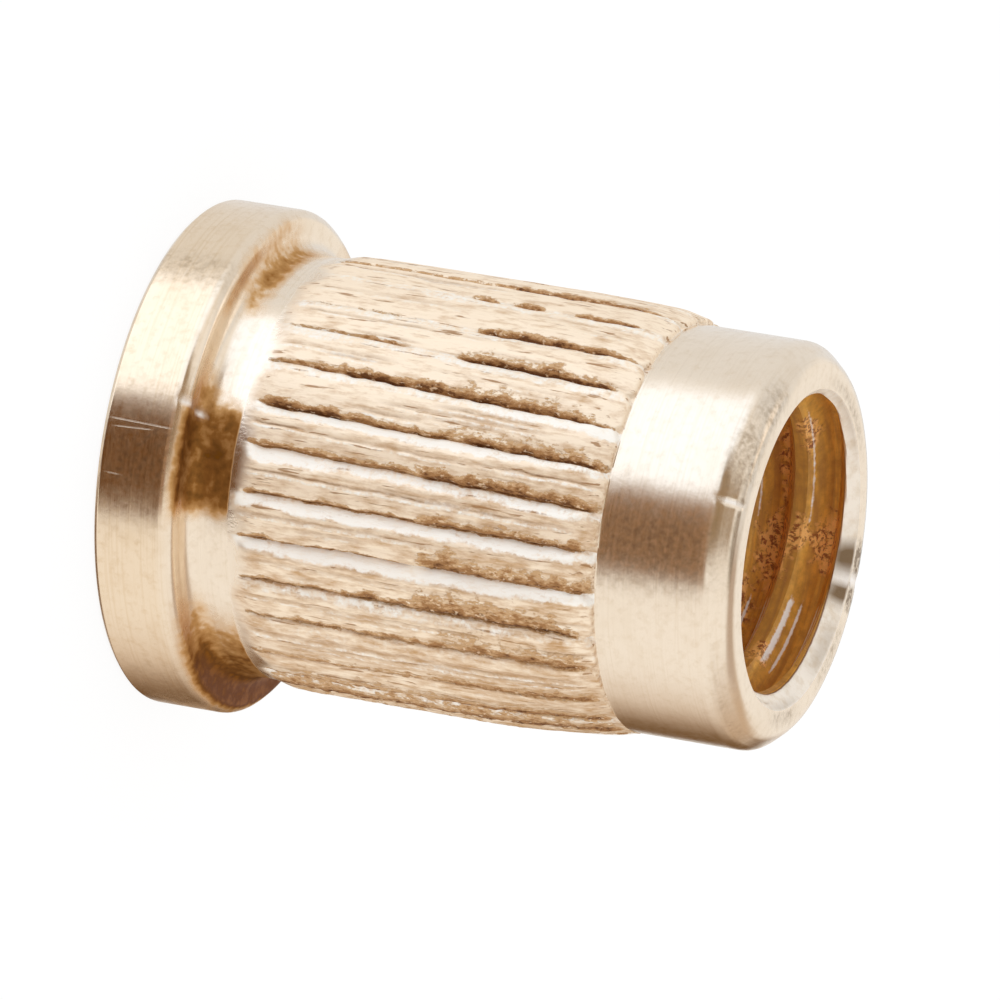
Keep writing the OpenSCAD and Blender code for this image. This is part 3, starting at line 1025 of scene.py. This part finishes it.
# the ridges' brown, which is also painted shade low in the picture
RIDGE_TAN_AND_SHADE = (0.6, 0.36, 0.17)
# the painted highlight on the gentle sides
FLANK_HIGHLIGHT = (1.0, 0.95, 0.87)
# painted shade in the faint lines, and the colour of the scars
LINE_TONE = (0.4, 0.205, 0.08)
# torn metal; the mid and dark browns are also painted shade in the grooves
TORN_LIGHT = (0.66, 0.42, 0.22)
TORN_AND_SHADED_MID = (0.42, 0.21, 0.08)
TORN_AND_SHADED_DARK = (0.16, 0.06, 0.018)
TORN_SPECK = (0.84, 0.64, 0.43)


def knurled_brass():
    """Rolled metal with lengthwise streaks, painted highlights on the gentle sides, torn metal and painted
    shade above the grooves, and painted shade low in the picture.
    """
    g = Graph("knurled_brass")
    streaks = g.noise((9, 9, 1.6), detail=4, roughness=0.65)
    broad = g.noise((3, 3, 1.6), detail=4, roughness=0.6)
    scars = g.noise((9, 9, 0.8), detail=3, roughness=0.5)
    grain = g.noise((10, 10, 4.5), detail=3, roughness=0.7)
    speck = g.noise((10, 10, 6), detail=2, roughness=0.6)
    comb = g.noise((7, 7, 7), detail=3, roughness=0.6)

    # the ridges, with painted shade low in the picture
    tan_and_shade = g.plus(g.mark("tan_and_shade"), g.spread(streaks, 0.3, 0.7, -0.36, 0.36))
    tan_and_shade = g.plus(tan_and_shade, g.spread(broad, 0.3, 0.7, -0.28, 0.28))
    ridge = g.coat(RIDGE_PALE, (tan_and_shade, 0.15, 0.95, 1, RIDGE_TAN_AND_SHADE), (scars, 0.64, 0.68, 0.85, LINE_TONE))

    # painted highlights on the gentle sides, and the faint lines with their painted shade
    serrated = g.times(g.spread(comb, 0.3, 0.7, -0.4, 0.4), g.spread(g.mark("flank"), 0, 0.3))
    flank = g.spread(g.plus(g.mark("flank"), serrated), 0.1, 0.75)
    flank = g.times(flank, g.spread(grain, 0.3, 0.5, 0.7, 1.0))
    ridge = g.mix(flank, ridge, FLANK_HIGHLIGHT)
    line = g.times(g.mark("line"), g.spread(grain, 0.35, 0.6, 0.35, 1.0))
    ridge = g.mix(line, ridge, LINE_TONE)

    # the torn metal, with painted shade in and above the grooves
    tear_and_shade = g.mark("tear_and_shade")
    crumbled = g.times(g.spread(grain, 0.2, 0.8, -0.5, 0.5), g.spread(tear_and_shade, 0, 0.25))
    level = g.plus(tear_and_shade, crumbled)
    mask = g.spread(level, 0.18, 0.3)
    torn_and_shaded = g.coat(TORN_LIGHT, (level, 0.4, 0.6, 1, TORN_AND_SHADED_MID), (level, 0.7, 0.95, 1, TORN_AND_SHADED_DARK),
                  (speck, 0.6, 0.68, 0.8, TORN_SPECK))

    rolled = g.mark("rolled")
    colour = g.mix(mask, g.mix(rolled, PILOT_TONE, ridge), torn_and_shaded)
    roughness = g.blend(mask, g.blend(rolled, 0.25, g.blend(flank, 0.55, 0.42)), 0.6)
    metallic = g.blend(rolled, 1, g.blend(mask, g.blend(flank, 0.45, 0.12), 0.35))
    ridged = g.times(streaks, rolled)
    pitted = g.times(grain, g.spread(mask, 0, 1, 0.3, 1))
    return g.finish(colour, roughness, [(ridged, 0.014), (pitted, 0.03)], metallic, specular=0.3)


OIL_LIGHT = (0.94, 0.52, 0.1)
OIL_DARK = (0.66, 0.34, 0.065)
OIL_LINES = (0.52, 0.25, 0.07)
OIL_CREST = (0.52, 0.26, 0.08)
COPPER_DARK = (0.34, 0.11, 0.03)
COPPER_LIGHT = (1.0, 0.54, 0.17)
# the painted highlight on the thread's edges
EDGE_HIGHLIGHT = (1.0, 0.95, 0.9)
# the painted shadow at the mouths' edge towards the thread
MOUTH_EDGE_SHADOW = (0.25, 0.11, 0.035)
MOUTH_TONE = (0.97, 0.88, 0.76)
MOUTH_SHADE = (0.84, 0.72, 0.57)


def threaded_brass():
    """Oily orange-brown metal with copper specks and painted highlights on its edges, bright at the mouths,
    with a painted shadow at their edge.
    """
    g = Graph("threaded_brass")
    mottle = g.noise((4, 4, 4), detail=3, roughness=0.6)
    speck = g.noise((9, 9, 6), detail=3, roughness=0.7)
    lines = g.noise((0.4, 0.4, 10), detail=3, roughness=0.5)

    colour = g.coat(OIL_LIGHT, (mottle, 0.35, 0.65, 1, OIL_DARK), (lines, 0.45, 0.65, 0.7, OIL_LINES),
                    (g.mark("crest"), 0, 1, 0.4, OIL_CREST))
    patch = g.plus(g.mark("speckle"), g.spread(mottle, 0.45, 0.75, -0.3, 0.5))
    patch = g.spread(patch, 0.3, 0.8)
    colour = g.mix(patch, colour, g.mix(g.spread(speck, 0.42, 0.52), COPPER_DARK, COPPER_LIGHT))
    painted_shine = g.spread(g.plus(g.mark("painted_shine"), g.spread(speck, 0.3, 0.7, -0.2, 0.2)), 0.3, 0.7)
    colour = g.mix(painted_shine, colour, EDGE_HIGHLIGHT)

    # the mouths, with a painted shadow at their edge towards the thread
    mouth = g.mark("mouth")
    colour = g.mix(g.spread(mouth, 0, 0.1), colour, MOUTH_EDGE_SHADOW)
    mouth = g.spread(g.plus(mouth, g.spread(mottle, 0.3, 0.7, -0.08, 0.08)), 0.25, 0.5)
    pale = g.mix(g.spread(mottle, 0.45, 0.7), MOUTH_TONE, MOUTH_SHADE)
    pale = g.mix(g.mark("smudge_and_shade"), pale, SMUDGE_AND_SHADE_TONE)
    colour = g.mix(mouth, colour, g.mix(g.mark("painted_highlight"), pale, PAINTED_GLINT))

    roughness = g.blend(painted_shine, g.spread(mottle, 0.3, 0.7, 0.3, 0.45), 0.5)
    roughness = g.blend(mouth, roughness, 0.35)
    metallic = g.blend(mouth, g.blend(g.math("MAXIMUM", painted_shine, patch), 0.3, 0.0), 0.4)
    return g.finish(colour, roughness, [(lines, 0.006), (speck, 0.012)], metallic, specular=0.6)


# ---- studio
FLOOR_SIZE = 4  # in metres, like the radius of the dome
FLOOR_ALBEDO = 0.15
PAPER_WHITE = 1.02  # how bright the unshaded floor is to the camera
DOME_RADIUS = 0.15
DOME_COLUMNS = 180
DOME_ROWS = 90
DOME_STEEPEST = 88  # elevation of its last rows


def bare_material(name):
    """An empty material: itself, its nodes, its links and the socket for its surface."""
    material = bpy.data.materials.new(name)
    material.use_nodes = True
    tree = material.node_tree
    tree.nodes.clear()
    output = tree.nodes.new("ShaderNodeOutputMaterial")
    return material, tree.nodes, tree.links, output.inputs["Surface"]


def make_world():
    """Plain white light from all round."""
    world = bpy.data.worlds.new("studio")
    bpy.context.scene.world = world
    world.use_nodes = True
    set_inputs(world.node_tree.nodes["Background"], ("Color", (*WHITE, 1)), ("Strength", 1))
    world.cycles.sampling_method = "NONE"


def make_floor():
    """A matt grey floor, brought up to white for the camera alone, which keeps the shadow."""
    bpy.ops.mesh.primitive_plane_add(size=FLOOR_SIZE)
    floor = bpy.context.object
    floor.name = "floor"
    material, nodes, links, surface = bare_material("white_floor")
    diffuse = nodes.new("ShaderNodeBsdfDiffuse")
    diffuse.inputs["Color"].default_value = (FLOOR_ALBEDO, FLOOR_ALBEDO, FLOOR_ALBEDO, 1)
    emission = nodes.new("ShaderNodeEmission")
    path = nodes.new("ShaderNodeLightPath")
    strength = nodes.new("ShaderNodeMath")
    strength.operation = "MULTIPLY"
    strength.inputs[1].default_value = PAPER_WHITE - FLOOR_ALBEDO
    links.new(path.outputs["Is Camera Ray"], strength.inputs[0])
    links.new(strength.outputs[0], emission.inputs["Strength"])
    both = nodes.new("ShaderNodeAddShader")
    links.new(diffuse.outputs[0], both.inputs[0])
    links.new(emission.outputs[0], both.inputs[1])
    links.new(both.outputs[0], surface)
    floor.data.materials.append(material)
    floor.visible_glossy = False
    floor.visible_diffuse = False


def studio_light(azimuth, elevation):
    """Light that the metal sees in a direction; azimuth runs from the camera towards +X."""
    low = smooth((-20.5 - elevation) / 3 + 0.5)
    below = smooth((12 - elevation) / 12)
    under_high = 1 - smooth((elevation - 40) / 10)
    window = inside(azimuth, -82, -20, 8) * inside(elevation, -120, 30, 20)
    layers = (
        # a grey wall behind, on the window's side, and the window, brightest at its foot
        (inside(azimuth, -300, -87, 12), (0.84, 0.86, 0.89)),
        (window, (1.24, 1.38, 1.6)),
        (window * low * 0.8, (1.5, 1.6, 1.8)),
        # a warm wall on the other side, the dark table below it, a dull place above, the bright wall behind
        (smooth((azimuth - 75) / 70) * under_high, (0.6, 0.45, 0.32)),
        (smooth((azimuth - 108) / 42) * below, (0.17, 0.09, 0.035)),
        (inside(azimuth, 104, 200, 20) * (1 - under_high), (0.55, 0.45, 0.38)),
        (smooth((azimuth - 158) / 10) * under_high, (0.9, 0.87, 0.84)),
        # a bright wall behind the insert's end
        (inside(np.abs(azimuth), 150, 220, 20) * inside(elevation, 8, 34, 10), (0.98, 0.97, 0.95)),
        # a small lamp high up behind
        (inside(azimuth, -150, -115, 8) * inside(elevation, 48, 72, 8), (1.25, 1.2, 1.15)),
        # whoever holds the camera, darkest low down, and an arm reaching up
        (inside(azimuth, -19, 28, 6) * (1 - smooth((elevation - 5) / 20)), (0.38, 0.235, 0.14)),
        (inside(azimuth, -20, 34, 6) * low, (0.15, 0.065, 0.017)),
        (inside(azimuth, -45, 12, 12) * inside(elevation, 12, 66, 14), (0.36, 0.26, 0.16)),
        # a dim ceiling
        (smooth((elevation - 74) / 6), (0.3, 0.25, 0.2)),
    )
    light = np.ones(azimuth.shape + (3,))
    for weight, colour in layers:
        light = between(light, np.array(colour), weight[..., None])
    return light


def make_dome():
    """A ball of soft studio light that only the metal sees."""
    azimuth, elevation = np.meshgrid(
        np.linspace(-180, 180, DOME_COLUMNS, endpoint=False),
        np.linspace(-DOME_STEEPEST, DOME_STEEPEST, DOME_ROWS), indexing="ij",
    )
    a = np.radians(azimuth + CAMERA_AZIMUTH - 90)
    e = np.radians(elevation)
    points = np.stack([np.cos(a) * np.cos(e), np.sin(a) * np.cos(e), np.sin(e)], axis=-1).reshape(-1, 3)
    points = points * DOME_RADIUS + np.array((0, 0, LENGTH / 2 * MM))
    faces = []
    for i in range(DOME_COLUMNS):
        here = i * DOME_ROWS
        beside = (i + 1) % DOME_COLUMNS * DOME_ROWS
        for k in range(DOME_ROWS - 1):
            faces.append((here + k, beside + k, beside + k + 1, here + k + 1))
    mesh = bpy.data.meshes.new("dome")
    mesh.from_pydata(points.tolist(), [], faces)
    tint = mesh.attributes.new("light", "FLOAT_COLOR", "POINT")
    rgba = np.ones((len(points), 4), dtype=np.float32)
    rgba[:, :3] = studio_light(azimuth, elevation).reshape(-1, 3)
    tint.data.foreach_set("color", rgba.ravel())
    dome = add_object("dome", mesh)
    material, nodes, links, surface = bare_material("dome_light")
    attribute = nodes.new("ShaderNodeAttribute")
    attribute.attribute_name = "light"
    emission = nodes.new("ShaderNodeEmission")
    links.new(attribute.outputs["Color"], emission.inputs["Color"])
    links.new(emission.outputs[0], surface)
    material.cycles.emission_sampling = "NONE"
    mesh.materials.append(material)
    dome.visible_camera = False
    dome.visible_diffuse = False
    dome.visible_shadow = False


make_camera()
insert = make_insert()
for made in (turned_brass(), knurled_brass(), threaded_brass()):
    insert.data.materials.append(made)
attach(insert, "root")
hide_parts("insert_body")
make_world()
make_floor()
make_dome()

bpy.context.scene.view_settings.view_transform = "Standard"
